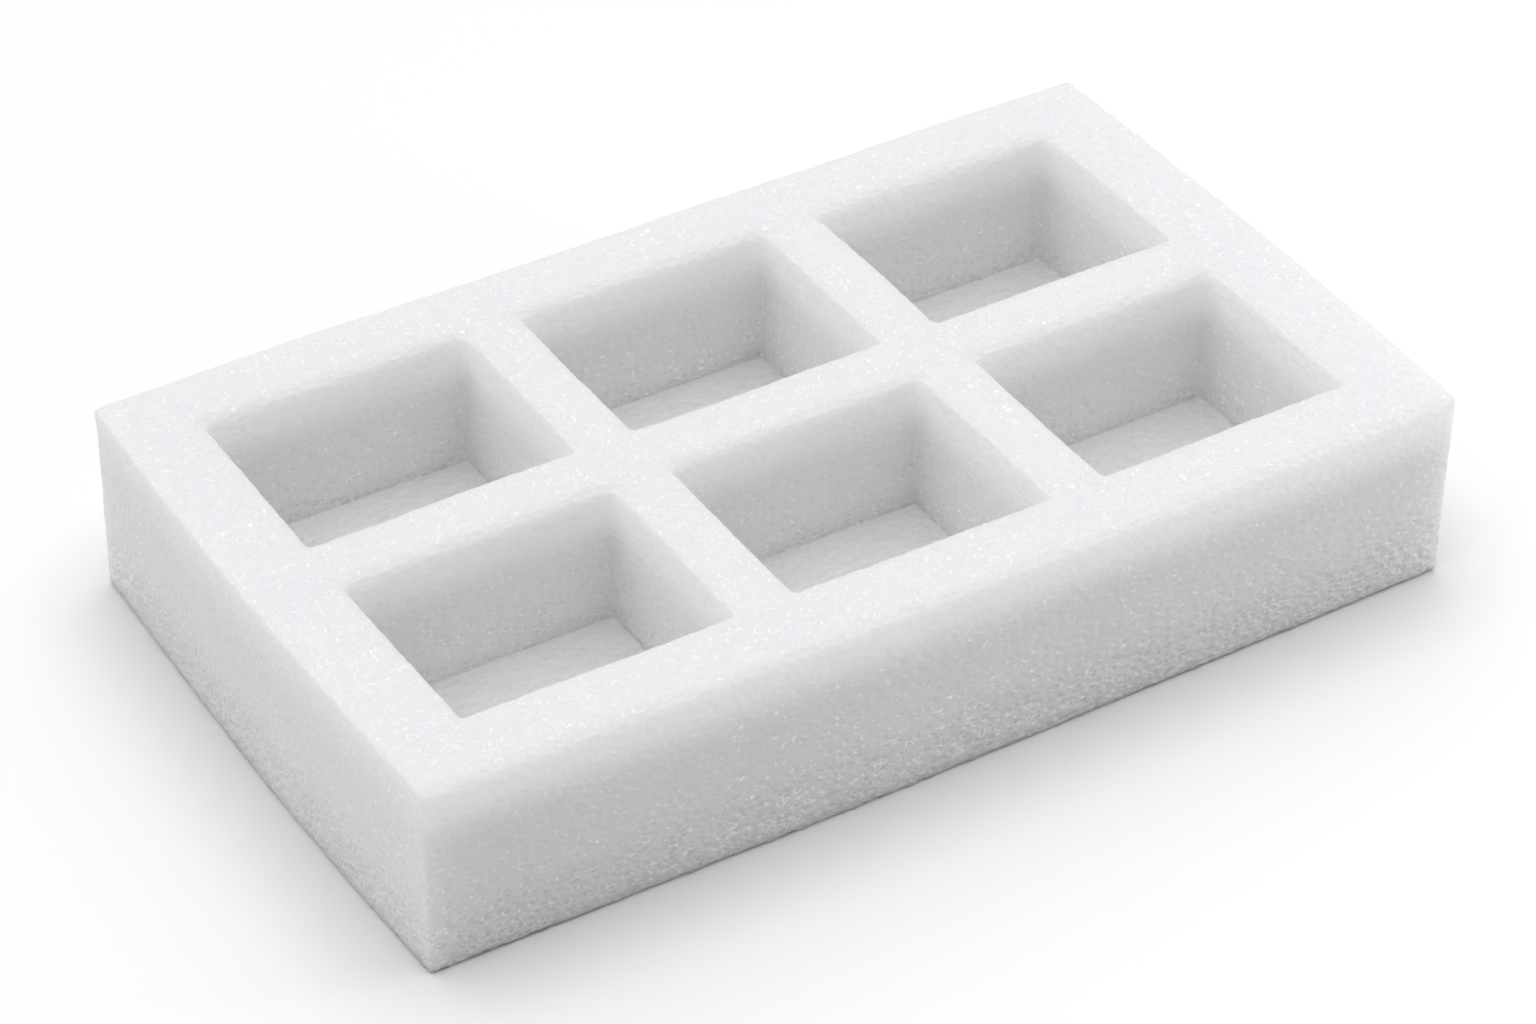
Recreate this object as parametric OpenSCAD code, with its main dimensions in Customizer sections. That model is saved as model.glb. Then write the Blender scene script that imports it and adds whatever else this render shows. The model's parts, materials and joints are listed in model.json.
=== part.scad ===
// Foam block: a cut slab of closed-cell foam with a grid of blind pockets for small parts.
// The block is one piece. It stands on z = 0 and is centred on the origin in plan.

/* [Pockets] */
// Pockets along the length
columns = 3; // [1:1:6]
// Pockets across the width
rows = 2; // [1:1:4]
// Inside length of one pocket
pocket_length = 60; // [30:1:120]
// Inside width of one pocket
pocket_width = 47; // [25:1:100]
// Depth of a pocket below the top face
pocket_depth = 33; // [10:1:80]
// Radius that the cutting blade leaves in the upright corners of a pocket
pocket_corner = 1.5; // [0.5:0.25:6]

/* [Walls] */
// Wall left at each end of the block
end_wall = 17; // [8:0.5:40]
// Wall left along each side of the block
side_wall = 16; // [8:0.5:40]
// Rib between neighbouring columns
column_rib = 13; // [6:0.5:30]
// Rib between neighbouring rows
row_rib = 14; // [6:0.5:30]
// Foam left under the pockets
floor_thickness = 12; // [4:0.5:40]

/* [Edges] */
// Radius of the four upright outer edges
upright_edge = 0.8; // [0.4:0.1:4]

/* [Hidden] */
$fn = 48;

// How far one pocket stands from the next, centre to centre
column_pitch = pocket_length + column_rib;
row_pitch = pocket_width + row_rib;

// Overall size of the block, from what it holds and the walls round it
block_length = 2 * end_wall + columns * pocket_length + (columns - 1) * column_rib;
block_width = 2 * side_wall + rows * pocket_width + (rows - 1) * row_rib;
block_height = floor_thickness + pocket_depth;

// Extra height of the pocket cutter, so that it comes out through the top face
cut_clear = 1;

// Offset from the middle of a row of count copies, pitch apart, to copy number index
function spread(index, count, pitch) = (index - (count - 1) / 2) * pitch;

// Rectangle centred on the origin, with its corners rounded by true arcs
module rounded_rectangle(length, width, radius) {
    square([length - 2 * radius, width], center = true);
    square([length, width - 2 * radius], center = true);
    for (side_x = [-1, 1], side_y = [-1, 1])
        translate([side_x * (length / 2 - radius), side_y * (width / 2 - radius)])
            circle(r = radius);
}

// The slab before its pockets are cut
module slab() {
    linear_extrude(height = block_height)
        rounded_rectangle(block_length, block_width, upright_edge);
}

// One pocket's cutter, from the pocket's floor to just above the top face
module pocket_cutter() {
    translate([0, 0, floor_thickness])
        linear_extrude(height = pocket_depth + cut_clear)
            rounded_rectangle(pocket_length, pocket_width, pocket_corner);
}

// The finished block: the slab with a pocket cut at each place of the grid
module foam_block() {
    color("whitesmoke")
        difference() {
            slab();
            for (column = [0 : columns - 1], row = [0 : rows - 1])
                translate([
                    spread(column, columns, column_pitch),
                    spread(row, rows, row_pitch),
                    0
                ])
                    pocket_cutter();
        }
}

foam_block();
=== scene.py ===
import json
import math

import bmesh
import bpy
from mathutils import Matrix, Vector

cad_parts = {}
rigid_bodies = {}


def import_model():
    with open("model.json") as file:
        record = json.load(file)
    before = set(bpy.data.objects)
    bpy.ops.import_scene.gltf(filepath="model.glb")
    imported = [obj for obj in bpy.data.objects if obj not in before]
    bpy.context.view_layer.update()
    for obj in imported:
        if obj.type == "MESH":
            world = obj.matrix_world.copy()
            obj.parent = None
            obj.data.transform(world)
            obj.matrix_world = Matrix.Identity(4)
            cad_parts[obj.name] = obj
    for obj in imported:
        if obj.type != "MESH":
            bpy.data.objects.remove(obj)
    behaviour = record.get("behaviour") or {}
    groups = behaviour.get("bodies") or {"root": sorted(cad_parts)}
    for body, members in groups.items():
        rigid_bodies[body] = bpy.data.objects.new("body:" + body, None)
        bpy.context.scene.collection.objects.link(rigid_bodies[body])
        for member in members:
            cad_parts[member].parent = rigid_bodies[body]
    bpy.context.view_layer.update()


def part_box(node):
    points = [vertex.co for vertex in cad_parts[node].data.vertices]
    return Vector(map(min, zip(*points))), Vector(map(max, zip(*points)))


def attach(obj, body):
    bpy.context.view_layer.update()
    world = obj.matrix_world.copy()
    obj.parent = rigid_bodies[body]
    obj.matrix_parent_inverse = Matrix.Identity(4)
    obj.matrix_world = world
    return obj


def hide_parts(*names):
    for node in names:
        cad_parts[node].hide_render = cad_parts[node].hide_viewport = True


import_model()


# The block is one slab of white closed-cell polyethylene foam, sawn square from a plank.
# Its pockets are cut down from above with a blade, so every face shows opened cells,
# and the upright corners of the pockets keep the small radius that the blade leaves.
BLOCK_LOW, BLOCK_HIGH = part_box("foam_block")
COLUMNS = 3
ROWS = 2
POCKET_LENGTH = 0.060
POCKET_WIDTH = 0.047
POCKET_DEPTH = 0.033
COLUMN_RIB = 0.013
ROW_RIB = 0.014
# Every edge of the block lies between two narrow bands of fine mesh, so that it can crumble
EDGE_BAND = 0.002
FINE_STEP = 0.00055
WIDE_STEP = 0.0013
# A normal or an edge lies along an axis if that axis has at least this share of its length
ALONG = 0.9
MICRON = 1e-6


def pick(kind, test):
    """In edit mode, selects only the vertices, edges or faces that pass the test."""
    bpy.ops.mesh.select_mode(type=kind)
    bpy.ops.mesh.select_all(action="DESELECT")
    mesh = bmesh.from_edit_mesh(bpy.context.object.data)
    for part in {"VERT": mesh.verts, "EDGE": mesh.edges, "FACE": mesh.faces}[kind]:
        if test(part):
            part.select_set(True)
    bmesh.update_edit_mesh(bpy.context.object.data)


def cut_across(axis, place):
    """Cuts the whole mesh along the plane that stands across the axis at that place."""
    bpy.ops.mesh.select_all(action="SELECT")
    normal = [float(number == axis) for number in range(3)]
    bpy.ops.mesh.bisect(plane_co=[place * side for side in normal], plane_no=normal)


def pocket_walls(count, size, rib):
    """Places of the two walls of each pocket in a row of them that is centred on zero."""
    middles = [(number - (count - 1) / 2) * (size + rib) for number in range(count)]
    return [middle + side * size / 2 for middle in middles for side in (-1, 1)]


def in_pocket(place, walls, margin=0.0):
    """True where a place lies between the two walls of a pocket, or within the margin of them."""
    return any(near - margin < place < far + margin for near, far in zip(walls[::2], walls[1::2]))


WALLS_X = pocket_walls(COLUMNS, POCKET_LENGTH, COLUMN_RIB)
WALLS_Y = pocket_walls(ROWS, POCKET_WIDTH, ROW_RIB)
POCKET_FLOOR = BLOCK_HIGH.z - POCKET_DEPTH

bpy.ops.object.select_all(action="DESELECT")
bpy.ops.mesh.primitive_cube_add(
    size=1.0,
    location=(BLOCK_LOW + BLOCK_HIGH) / 2,
    scale=BLOCK_HIGH - BLOCK_LOW,
)
block = bpy.context.object
block.name = "cut_foam_block"
bpy.ops.object.transform_apply(location=True, rotation=True, scale=True)
bpy.ops.object.mode_set(mode="EDIT")

# Lines for the pocket walls and for the bands along the edges, then the pockets pushed down
for axis, walls in ((0, WALLS_X), (1, WALLS_Y)):
    for wall in walls:
        for side in (-EDGE_BAND, 0.0, EDGE_BAND):
            cut_across(axis, wall + side)
    cut_across(axis, BLOCK_LOW[axis] + EDGE_BAND)
    cut_across(axis, BLOCK_HIGH[axis] - EDGE_BAND)
pick(
    "FACE",
    lambda face: face.normal.z > ALONG
    and in_pocket(face.calc_center_median().x, WALLS_X)
    and in_pocket(face.calc_center_median().y, WALLS_Y),
)
bpy.ops.mesh.extrude_region_move(TRANSFORM_OT_translate={"value": (0, 0, -POCKET_DEPTH)})
for height in (EDGE_BAND, POCKET_FLOOR + EDGE_BAND, BLOCK_HIGH.z - EDGE_BAND):
    cut_across(2, height)

# The underside is taken off while the rest is divided, and closed again as one flat face
pick("FACE", lambda face: face.normal.z < -ALONG and face.calc_center_median().z < EDGE_BAND / 2)
bpy.ops.mesh.delete(type="FACE")


def along(edge, axis):
    """Length of an edge in microns if it lies along the axis, and otherwise zero."""
    span = edge.verts[1].co - edge.verts[0].co
    return round(abs(span[axis]) / MICRON) if abs(span[axis]) > ALONG * span.length else 0


for axis in range(3):
    edges = bmesh.from_edit_mesh(block.data).edges
    for length in sorted({along(edge, axis) for edge in edges} - {0}):
        step = FINE_STEP if length * MICRON < EDGE_BAND + FINE_STEP else WIDE_STEP
        pick("EDGE", lambda edge: along(edge, axis) == length)
        bpy.ops.mesh.subdivide(number_cuts=math.ceil(length * MICRON / step) - 1)
pick("EDGE", lambda edge: edge.is_boundary)
bpy.ops.mesh.edge_face_add()
bpy.ops.mesh.inset(thickness=EDGE_BAND, depth=0.0)

# The blade's radius in the upright corners of the pockets
CORNER_REACH = 0.0016
CORNER_PASSES = 8
SMOOTHING = 0.5


def near_any(place, places, reach):
    """True where a place lies within reach of one of the places."""
    return any(abs(place - other) < reach for other in places)


pick(
    "VERT",
    lambda vert: near_any(vert.co.x, WALLS_X, CORNER_REACH)
    and near_any(vert.co.y, WALLS_Y, CORNER_REACH)
    and in_pocket(vert.co.x, WALLS_X, MICRON)
    and in_pocket(vert.co.y, WALLS_Y, MICRON)
    and vert.co.z > POCKET_FLOOR - MICRON,
)
bpy.ops.mesh.vertices_smooth(factor=SMOOTHING, repeat=CORNER_PASSES, zaxis=False)

# Rims of faces that look to the front are rolled over, the block's own one short of its corners
EDGE_REACH = 0.0003
ROLL_RINGS = 4
ROLL_PASSES = 30
ROLL_INSET = 0.004


def rolled(vert):
    """True on the block's front rim and on the back rims of the pockets."""
    x, y, z = vert.co
    front = abs(y - BLOCK_LOW.y) < EDGE_REACH and abs(x) < BLOCK_HIGH.x - ROLL_INSET
    pocket_back = near_any(y, WALLS_Y[1::2], EDGE_REACH) and in_pocket(x, WALLS_X)
    return z > BLOCK_HIGH.z - EDGE_REACH and (front or pocket_back)


pick("VERT", rolled)
for ring in range(ROLL_RINGS):
    bpy.ops.mesh.select_more()
bpy.ops.mesh.vertices_smooth(factor=SMOOTHING, repeat=ROLL_PASSES)

# The cells along the rolled rims are crushed, so they are marked to crumble less
ROLL_CRUSH = 0.75
bpy.context.scene.tool_settings.vertex_group_weight = ROLL_CRUSH
bpy.ops.object.vertex_group_assign_new()
block.vertex_groups.active.name = "rolled_rims"

# All edges but those round the pocket floors are taken off a little
EDGE_RINGS = 2
EDGE_PASSES = 9


def ways(vert):
    """The ways that the faces round a vertex look, to the nearest axis."""
    return {tuple(round(part) for part in face.normal) for face in vert.link_faces}


pick("VERT", lambda vert: len(ways(vert)) > 1 and abs(vert.co.z - POCKET_FLOOR) > EDGE_REACH)
for ring in range(EDGE_RINGS):
    bpy.ops.mesh.select_more()
bpy.ops.mesh.vertices_smooth(factor=SMOOTHING, repeat=EDGE_PASSES)

# The foot is ragged where the saw opened the cells along it
FOOT_REACH = 0.0008
FOOT_RAGGED = 0.0003
FOOT_SEED = 4
pick(
    "VERT",
    lambda vert: vert.co.z < FOOT_REACH
    and (abs(vert.co.x) > BLOCK_HIGH.x - FOOT_REACH or abs(vert.co.y) > BLOCK_HIGH.y - FOOT_REACH),
)
bpy.ops.transform.vertex_random(offset=FOOT_RAGGED, uniform=0.0, normal=0.0, seed=FOOT_SEED)
bpy.ops.mesh.select_all(action="SELECT")
bpy.ops.mesh.remove_doubles(threshold=MICRON)
bpy.ops.mesh.normals_make_consistent(inside=False)
bpy.ops.object.mode_set(mode="OBJECT")

# The sawn sides stand a little proud in the middle: a cage is pulled out there and applied
CROWN_END = 0.0015
CROWN_FRONT = 0.0010
CROWN_BACK = 0.0005
CAGE_POINTS = (11, 7, 2)
# The cage reaches from -0.5 to 0.5 along each axis, and its outer points lie past this
CAGE_SIDE = 0.49


def crown(place):
    """Share of the crown at a place along a side, which is 1 in the middle and 0 at both ends."""
    return 1 - 4 * place * place


bpy.ops.object.add(type="LATTICE", location=(BLOCK_LOW + BLOCK_HIGH) / 2)
cage = bpy.context.object
cage.scale = BLOCK_HIGH - BLOCK_LOW
for axis, points in zip("uvw", CAGE_POINTS):
    setattr(cage.data, "points_" + axis, points)
    setattr(cage.data, "interpolation_type_" + axis, "KEY_CARDINAL")
for point in cage.data.points:
    x, y, z = point.co
    swell_x = CROWN_END * crown(y) / cage.scale.x
    swell_y = (CROWN_FRONT if y < 0 else CROWN_BACK) * crown(x) / cage.scale.y
    x += math.copysign(swell_x, x) if abs(x) > CAGE_SIDE else 0.0
    y += math.copysign(swell_y, y) if abs(y) > CAGE_SIDE else 0.0
    point.co_deform = (x, y, z)
bpy.ops.object.select_all(action="DESELECT")
bpy.context.view_layer.objects.active = block
block.select_set(True)
bpy.ops.object.modifier_add(type="LATTICE")
block.modifiers[-1].object = cage
bpy.ops.object.modifier_apply(modifier=block.modifiers[-1].name)
bpy.data.objects.remove(cage)

# A slow unevenness of the sawn faces, and the opened cells, which are fainter on the crushed rims.
# Each has a name, a kind, a size, a depth and the name of the places where it is fainter.
RELIEF = (
    ("sawn_wave", "CLOUDS", 0.055, 0.0010, ""),
    ("cut_waver", "CLOUDS", 0.0045, 0.00015, ""),
    ("cell_cups", "VORONOI", 0.0021, 0.00022, "rolled_rims"),
    ("cell_crumbs", "CLOUDS", 0.0011, 0.00030, "rolled_rims"),
)
for name, kind, size, depth, fainter in RELIEF:
    texture = bpy.data.textures.new(name, kind)
    texture.noise_scale = size
    bpy.ops.object.modifier_add(type="DISPLACE")
    push = block.modifiers[-1]
    push.name = name
    push.texture = texture
    push.texture_coords = "LOCAL"
    push.strength = depth
    push.vertex_group = fainter
    push.invert_vertex_group = True
    bpy.ops.object.modifier_apply(modifier=name)
bpy.ops.object.vertex_group_remove(all=True)

# The base pressed flat again on the plane that the block stands on
bpy.ops.object.mode_set(mode="EDIT")
pick(
    "VERT",
    lambda vert: vert.co.z < BLOCK_LOW.z or all(face.normal.z < -ALONG for face in vert.link_faces),
)
bpy.ops.transform.resize(value=(1, 1, 0), center_override=(0, 0, BLOCK_LOW.z))
bpy.ops.object.mode_set(mode="OBJECT")
bpy.ops.object.shade_smooth()

# Whites of the foam, painted lighter or darker by kind of face for how the light falls on it, with a
# painted glow along the rims and painted light at the foot, and the painted highlight of cut cell walls
# and painted shade of their hollows
SIDE_PAINTED_SHADING = (0.75, 0.75, 0.75, 1.0)
SIDE_FOOT_PAINTED_LIGHT = (0.82, 0.82, 0.82, 1.0)
RIM_PAINTED_GLOW = (0.99, 0.99, 0.99, 1.0)
END_PAINTED_SHADING = (0.775, 0.775, 0.775, 1.0)
END_FOOT_PAINTED_LIGHT = (0.9, 0.9, 0.915, 1.0)
END_RIM_PAINTED_GLOW = (0.83, 0.83, 0.84, 1.0)
POCKET_PAINTED_SHADING = (0.805, 0.804, 0.797, 1.0)
POCKET_FLOOR_PAINTED_SHADING = (0.91, 0.91, 0.915, 1.0)
TOP_PAINTED_SHADING = (0.815, 0.824, 0.844, 1.0)
CELL_WALL_PAINTED_HIGHLIGHT = (0.995, 0.995, 0.995, 1.0)
HOLLOW_PAINTED_SHADE = (0.45, 0.45, 0.45, 1.0)
# A face changes from upright to upward, and from a long side to an end, as its normal turns
UPWARD_FROM, UPWARD_TO = 0.5, 0.99
END_FROM, END_TO = 0.4, 0.9
# Heights above the base between which the painted rim glow, the painted foot light and the coarse cells
# with their stronger painted contrast fade
RIM_FROM, RIM_TO = 0.029, 0.0445
FOOT_TO = 0.012
COARSE_TO = 0.028
POCKET_COARSE = 0.65
POCKET_COARSE_FROM, POCKET_COARSE_TO = 0.010, 0.036
# All upright faces farther in than this belong to pockets
POCKET_INSET = 0.008
# The cells are drawn out along the plank, and a second layer of them is this many times finer
CELL_SIZE = 0.0017
CELL_DRAW = (0.85, 1.05, 1.28)
FINE_CELLS = 2.0
# An arc of cell wall: its radius and half its width in cells, and how much of the ring is cut off
ARC_REACH = 0.42
ARC_WIDTH = 0.08
ARC_CUT = 0.11
ARC_CUT_COARSE = -0.13
ARC_CUT_FOOT = -0.12
# Each cell's arc is turned by the cell's chance colour, and its faintest is at the low end of that
MIDDLE_CHANCE = (0.5, 0.5, 0.5)
ARC_FAINTEST = 0.35
ARC_FULL_FROM = 0.8
# Share of the cells that show an arc, and what coarse and upward faces add to it.
# The fine cells have more arcs on upward faces, and as many fewer on coarse ones.
WIDE_SHARE = 0.20
WIDE_SHARE_COARSE = 0.75
WIDE_SHARE_UPWARD = 0.40
FINE_SHARE = 0.50
FINE_SHARE_UPWARD = 0.40
# Grains in the middle of fine cells: a few are painted white as glints and some are painted dark as
# holes in shade
GRAIN_REACH = 0.24
GLINT_BELOW = 0.04
HOLE_ABOVE = 0.82
HOLE_SHADE_STRENGTH = 0.25
# Strength of the painted highlight on the arcs, the painted shade in the hollows and the shine, and what
# is added on coarse faces
ARC_BRIGHT, ARC_BRIGHT_COARSE = 0.75, 0.25
HOLLOW_SHADE_STRENGTH, HOLLOW_SHADE_STRENGTH_COARSE = 0.03, 0.22
SHINE, SHINE_COARSE = 0.25, 0.75
SHINE_ROUGHNESS = 0.3
SHINE_IOR = 3.0
FOAM_ROUGHNESS = 0.62
CELL_WALL_ROUGHNESS = 0.38
# Depth of the cells in the bump, and the share of it at the base and above the height BUMP_TO
BUMP_DEPTH = 0.0014
BUMP_BASE, BUMP_ABOVE = 0.95, 0.30
BUMP_TO = 0.020
# Share of the light that goes under the surface, and how far it goes there
GLOW = 0.68
GLOW_DEPTH = 0.016

foam = bpy.data.materials.new("white_cell_foam")
foam.use_nodes = True
surface = foam.node_tree.nodes["Principled BSDF"]
# The mix node's inputs and output for colours
MIX_FACTOR, MIX_FIRST, MIX_SECOND, MIX_RESULT = 0, 6, 7, 2


def add(tree, kind, inputs, **settings):
    """Adds a node with its settings to a node tree, and sets or links its inputs."""
    node = tree.nodes.new(kind)
    for name, value in settings.items():
        setattr(node, name, value)
    for name, value in inputs.items():
        if isinstance(value, bpy.types.NodeSocket):
            tree.links.new(value, node.inputs[name])
        else:
            node.inputs[name].default_value = value
    return node


def blend(tree, factor, first, second):
    """Two colours, mixed by the factor."""
    colours = {MIX_FACTOR: factor, MIX_FIRST: first, MIX_SECOND: second}
    return add(tree, "ShaderNodeMix", colours, data_type="RGBA").outputs[MIX_RESULT]


def sums(tree, operation, *values):
    """The result of one sum on values or sockets."""
    return add(tree, "ShaderNodeMath", dict(enumerate(values)), operation=operation).outputs["Value"]


def ramp(value, low, high, to_low=0.0, to_high=1.0):
    """The value carried smoothly from the range low to high to another range."""
    ranges = {"Value": value, "From Min": low, "From Max": high, "To Min": to_low, "To Max": to_high}
    steps = add(foam.node_tree, "ShaderNodeMapRange", ranges, interpolation_type="SMOOTHSTEP")
    return steps.outputs["Result"]


def times(*values):
    """The product of two values or sockets."""
    return sums(foam.node_tree, "MULTIPLY", *values)


def minus(*values):
    """The first value less the second."""
    return sums(foam.node_tree, "SUBTRACT", *values)


def size_of(value):
    """The value without its sign."""
    return sums(foam.node_tree, "ABSOLUTE", value)


def larger(*values):
    """The larger of two values or sockets."""
    return sums(foam.node_tree, "MAXIMUM", *values)


def below(*values):
    """1 where the first value is below the second, and otherwise 0."""
    return sums(foam.node_tree, "LESS_THAN", *values)


def above(*values):
    """1 where the first value is above the second, and otherwise 0."""
    return sums(foam.node_tree, "GREATER_THAN", *values)


def grown(start, growth, value):
    """A start that grows with the value."""
    return sums(foam.node_tree, "MULTIPLY_ADD", value, growth, start)


def vectors(operation, first, second, result="Vector"):
    """The result of one sum on two vectors."""
    pair = {0: first, 1: second}
    return add(foam.node_tree, "ShaderNodeVectorMath", pair, operation=operation).outputs[result]


def axes(vector):
    """The three parts of a vector."""
    return add(foam.node_tree, "ShaderNodeSeparateXYZ", {"Vector": vector}).outputs


def cell_arcs(place, scale, share, cut):
    """Cut cell walls, each part of a ring, in a share of the cells.

    Gives the arcs, the hollows inside them, the cells and a chance for each cell.
    """
    cells = add(foam.node_tree, "ShaderNodeTexVoronoi", {"Vector": place, "Scale": scale}).outputs
    chance = add(foam.node_tree, "ShaderNodeSeparateColor", {"Color": cells["Color"]}).outputs
    away = vectors("SUBTRACT", place, cells["Position"])
    turned = vectors("SUBTRACT", cells["Color"], MIDDLE_CHANCE)
    side = vectors("DOT_PRODUCT", away, turned, "Value")
    ring = sums(foam.node_tree, "COMPARE", cells["Distance"], ARC_REACH, ARC_WIDTH)
    some = below(chance["Red"], share)
    arc = times(times(ring, above(side, times(cut, 1 / scale))), some)
    arc = times(arc, ramp(chance["Green"], 0.0, ARC_FULL_FROM, ARC_FAINTEST))
    hollow = times(below(cells["Distance"], ARC_REACH), some)
    return arc, hollow, cells, chance["Blue"]


# What kind of face it is, and how high up it lies
spot = add(foam.node_tree, "ShaderNodeTexCoord", {}).outputs
turn = axes(spot["Normal"])
here = axes(spot["Object"])
height = here["Z"]
upward = ramp(turn["Z"], UPWARD_FROM, UPWARD_TO)
upright = minus(1.0, upward)
end = ramp(size_of(turn["X"]), END_FROM, END_TO)
within = times(
    below(size_of(here["X"]), BLOCK_HIGH.x - POCKET_INSET),
    below(size_of(here["Y"]), BLOCK_HIGH.y - POCKET_INSET),
)
rim = ramp(height, RIM_FROM, RIM_TO)
foot = ramp(height, BLOCK_LOW.z, FOOT_TO, 1.0, 0.0)

# The cells are coarser towards the base, and low down in the pockets, and there their painted highlights
# and shade are stronger, standing in for light that grazes the upright faces
coarse_and_painted_contrast = times(ramp(height, POCKET_COARSE_FROM, POCKET_COARSE_TO, POCKET_COARSE, 0.0), within)
coarse_and_painted_contrast = times(larger(coarse_and_painted_contrast, ramp(height, BLOCK_LOW.z, COARSE_TO, 1.0, 0.0)), upright)
cut = grown(grown(ARC_CUT, ARC_CUT_COARSE, coarse_and_painted_contrast), ARC_CUT_FOOT, foot)
place = vectors("MULTIPLY", spot["Object"], CELL_DRAW)
wide_share = larger(
    grown(WIDE_SHARE, WIDE_SHARE_COARSE, coarse_and_painted_contrast),
    grown(WIDE_SHARE, WIDE_SHARE_UPWARD, upward),
)
wide_arcs, hollows, cells, _ = cell_arcs(place, 1 / CELL_SIZE, wide_share, cut)

# The fine cells are shifted from one wide cell to the next, so that their walls are torn
fine_share = grown(FINE_SHARE, FINE_SHARE_UPWARD, minus(upward, coarse_and_painted_contrast))
torn = vectors("MULTIPLY", cells["Color"], (CELL_SIZE / FINE_CELLS,) * 3)
torn = vectors("ADD", place, torn)
fine_arcs, _, fine_cells, luck = cell_arcs(torn, FINE_CELLS / CELL_SIZE, fine_share, cut)
grain = below(fine_cells["Distance"], GRAIN_REACH)
painted_glint = times(grain, below(luck, GLINT_BELOW))
shaded_hole = times(times(grain, above(luck, HOLE_ABOVE)), times(coarse_and_painted_contrast, HOLE_SHADE_STRENGTH))
# The cut cell walls are painted near white, partly as whiter membranes and partly as painted highlight,
# and the glints are painted highlight
walls_and_painted_highlights = times(larger(wide_arcs, fine_arcs), grown(ARC_BRIGHT, ARC_BRIGHT_COARSE, coarse_and_painted_contrast))
walls_and_painted_highlights = larger(walls_and_painted_highlights, painted_glint)
# The hollows inside the arcs and the holes are greyed with painted shade
painted_shade = larger(times(hollows, grown(HOLLOW_SHADE_STRENGTH, HOLLOW_SHADE_STRENGTH_COARSE, coarse_and_painted_contrast)), shaded_hole)


def foam_blend(factor, first, second):
    """Two colours of the foam, mixed by the factor."""
    return blend(foam.node_tree, factor, first, second)


# The painted light and shade of each kind of face, with painted glow on its rims and painted light at
# its foot, painted shade greyed into its hollows, and the cell walls painted over it as highlights
side = foam_blend(rim, foam_blend(foot, SIDE_PAINTED_SHADING, SIDE_FOOT_PAINTED_LIGHT), RIM_PAINTED_GLOW)
end_face = foam_blend(rim, foam_blend(foot, END_PAINTED_SHADING, END_FOOT_PAINTED_LIGHT), END_RIM_PAINTED_GLOW)
pocket = foam_blend(rim, POCKET_PAINTED_SHADING, RIM_PAINTED_GLOW)
upright_face = foam_blend(within, foam_blend(end, side, end_face), pocket)
flat_face = foam_blend(rim, POCKET_FLOOR_PAINTED_SHADING, TOP_PAINTED_SHADING)
face = foam_blend(painted_shade, foam_blend(upward, upright_face, flat_face), HOLLOW_PAINTED_SHADE)
relief = times(cells["Distance"], ramp(height, BLOCK_LOW.z, BUMP_TO, BUMP_BASE, BUMP_ABOVE))
bump = add(foam.node_tree, "ShaderNodeBump", {"Height": relief, "Distance": BUMP_DEPTH, "Strength": 1.0})
for name, value in (
    ("Base Color", foam_blend(walls_and_painted_highlights, face, CELL_WALL_PAINTED_HIGHLIGHT)),
    ("Roughness", ramp(walls_and_painted_highlights, 0.0, 1.0, FOAM_ROUGHNESS, CELL_WALL_ROUGHNESS)),
    ("Normal", bump.outputs["Normal"]),
    ("Coat Weight", times(walls_and_painted_highlights, grown(SHINE, SHINE_COARSE, coarse_and_painted_contrast))),
):
    foam.node_tree.links.new(value, surface.inputs[name])
surface.inputs["Coat Roughness"].default_value = SHINE_ROUGHNESS
surface.inputs["Coat IOR"].default_value = SHINE_IOR
surface.inputs["Subsurface Weight"].default_value = GLOW
surface.inputs["Subsurface Radius"].default_value = (1.0, 1.0, 1.0)
surface.inputs["Subsurface Scale"].default_value = GLOW_DEPTH
block.data.materials.clear()
block.data.materials.append(foam)
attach(block, "root")
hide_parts("foam_block")


# The floor is a plain sheet of white card, wide enough to fill the view from any side.
# It lies under the block's base, and a painted shadow darkens it where the block stands close to it.
FLOOR_SIZE = 6.0
FLOOR_SEEN = (1.0, 1.0, 1.0, 1.0)
FLOOR_PAINTED_SHADOW = (0.54, 0.54, 0.54, 1.0)
FLOOR_BOUNCE = (0.70, 0.70, 0.70, 1.0)
CLOSE_REACH = 0.024
CLOSE_SAMPLES = 8


def seen_by_eye(tree):
    """1 for what the camera sees, straight on or in shine or glass, and otherwise 0."""
    rays = add(tree, "ShaderNodeLightPath", {}).outputs
    shine = sums(tree, "MAXIMUM", rays["Is Camera Ray"], rays["Is Glossy Ray"])
    return sums(tree, "MAXIMUM", shine, rays["Is Transmission Ray"])


bpy.ops.object.select_all(action="DESELECT")
bpy.ops.mesh.primitive_plane_add(size=FLOOR_SIZE, location=(0, 0, BLOCK_LOW.z))
floor = bpy.context.object
floor.name = "studio_floor"
card = bpy.data.materials.new("white_card")
card.use_nodes = True
sheet = card.node_tree
sheet.nodes.remove(sheet.nodes["Principled BSDF"])
# An ambient occlusion node paints a contact shadow into the card's seen white near the block
near = add(sheet, "ShaderNodeAmbientOcclusion", {"Distance": CLOSE_REACH}, samples=CLOSE_SAMPLES)
card_with_painted_shadow = blend(sheet, near.outputs["AO"], FLOOR_PAINTED_SHADOW, FLOOR_SEEN)
shade = blend(sheet, seen_by_eye(sheet), FLOOR_BOUNCE, card_with_painted_shadow)
matt = add(sheet, "ShaderNodeBsdfDiffuse", {"Color": shade})
sheet.links.new(matt.outputs["BSDF"], sheet.nodes["Material Output"].inputs["Surface"])
floor.data.materials.append(card)


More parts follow.
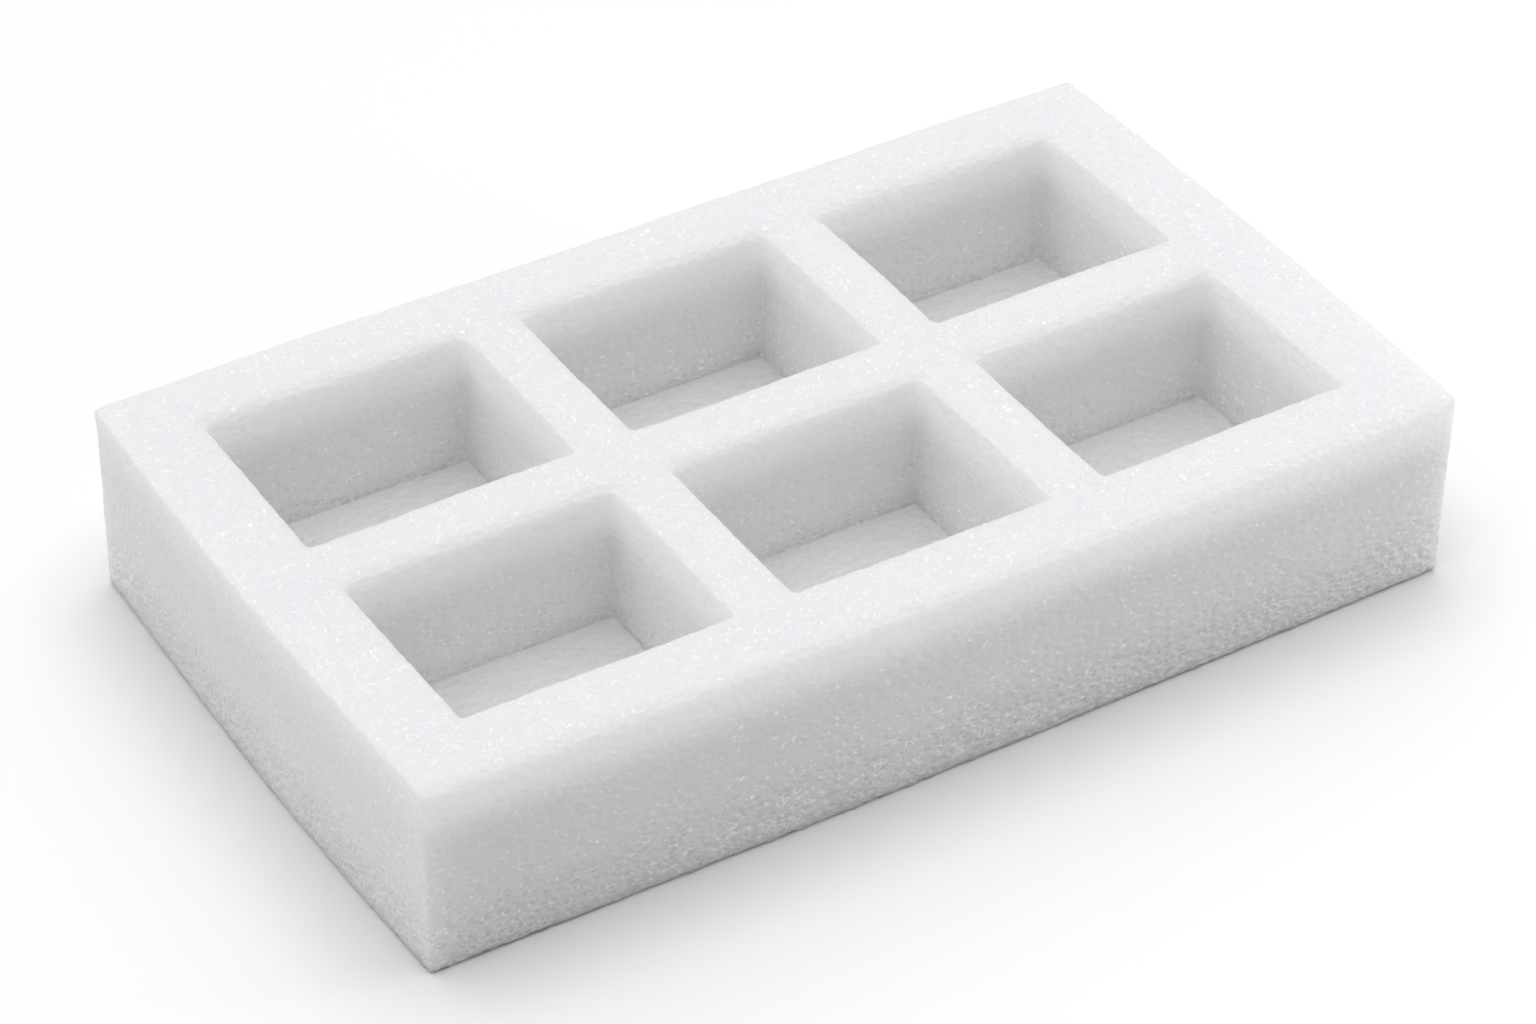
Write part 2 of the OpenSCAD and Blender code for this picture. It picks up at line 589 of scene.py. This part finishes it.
# Light is a wide soft source overhead and a little behind, over an even pale surround.
# A weaker soft light comes from the left, and a small low lamp from the front right.
SKY_LIGHT = 0.46
SUN_LIGHT = 1.56
SUN_SPREAD = math.radians(100)
SUN_FROM = Vector((0.03, 0.30, 0.954))
SIDE_LIGHT = 0.37
SIDE_SPREAD = math.radians(40)
SIDE_FROM = Vector((-0.92, 0.0, 0.38))
LAMP_LIGHT = 0.48
LAMP_SIZE = 0.20
LAMP_PLACE = Vector((0.50, -0.25, 0.11))
LAMP_AIM = Vector((0.10, -0.03, 0.02))
world = bpy.data.worlds.new("pale_surround")
bpy.context.scene.world = world
world.use_nodes = True
air = world.node_tree
sky = air.nodes["Background"]
sky.inputs["Color"].default_value = (1.0, 1.0, 1.0, 1.0)
level = add(air, "ShaderNodeMix", {"Factor": seen_by_eye(air), "A": SKY_LIGHT, "B": 1.0})
air.links.new(level.outputs["Result"], sky.inputs["Strength"])
bpy.ops.object.select_all(action="DESELECT")
for name, light, spread, source in (
    ("wide_soft_light", SUN_LIGHT, SUN_SPREAD, SUN_FROM),
    ("soft_side_light", SIDE_LIGHT, SIDE_SPREAD, SIDE_FROM),
):
    bpy.ops.object.light_add(type="SUN", rotation=source.to_track_quat("Z", "Y").to_euler())
    sun = bpy.context.object
    sun.name = name
    sun.data.energy = light
    sun.data.angle = spread
bpy.ops.object.light_add(
    type="AREA",
    location=LAMP_PLACE,
    rotation=(LAMP_PLACE - LAMP_AIM).to_track_quat("Z", "Y").to_euler(),
)
lamp = bpy.context.object
lamp.name = "low_right_lamp"
lamp.data.shape = "DISK"
lamp.data.size = LAMP_SIZE
lamp.data.energy = LAMP_LIGHT
lamp.visible_camera = False


# The camera looks down on the block's front left corner through a long lens.
# It is turned a little about its own axis, as it was held.
CAMERA_AIM = Vector((-0.0208, -0.0300, 0.0450))
CAMERA_AWAY = 0.943
CAMERA_AZIMUTH = math.radians(-32.14)
CAMERA_ELEVATION = math.radians(37.65)
CAMERA_ROLL = math.radians(0.68)
CAMERA_LENS = 112.0
CAMERA_SENSOR = 36.0
back = Vector((
    math.sin(CAMERA_AZIMUTH) * math.cos(CAMERA_ELEVATION),
    -math.cos(CAMERA_AZIMUTH) * math.cos(CAMERA_ELEVATION),
    math.sin(CAMERA_ELEVATION),
))
bpy.ops.object.camera_add(location=CAMERA_AIM + back * CAMERA_AWAY)
camera = bpy.context.object
camera.rotation_euler = (-back).to_track_quat("-Z", "Y").to_euler()
camera.rotation_euler.rotate_axis("Z", CAMERA_ROLL)
camera.data.lens = CAMERA_LENS
camera.data.sensor_width = CAMERA_SENSOR
scene = bpy.context.scene
scene.camera = camera
scene.view_settings.view_transform = "Standard"
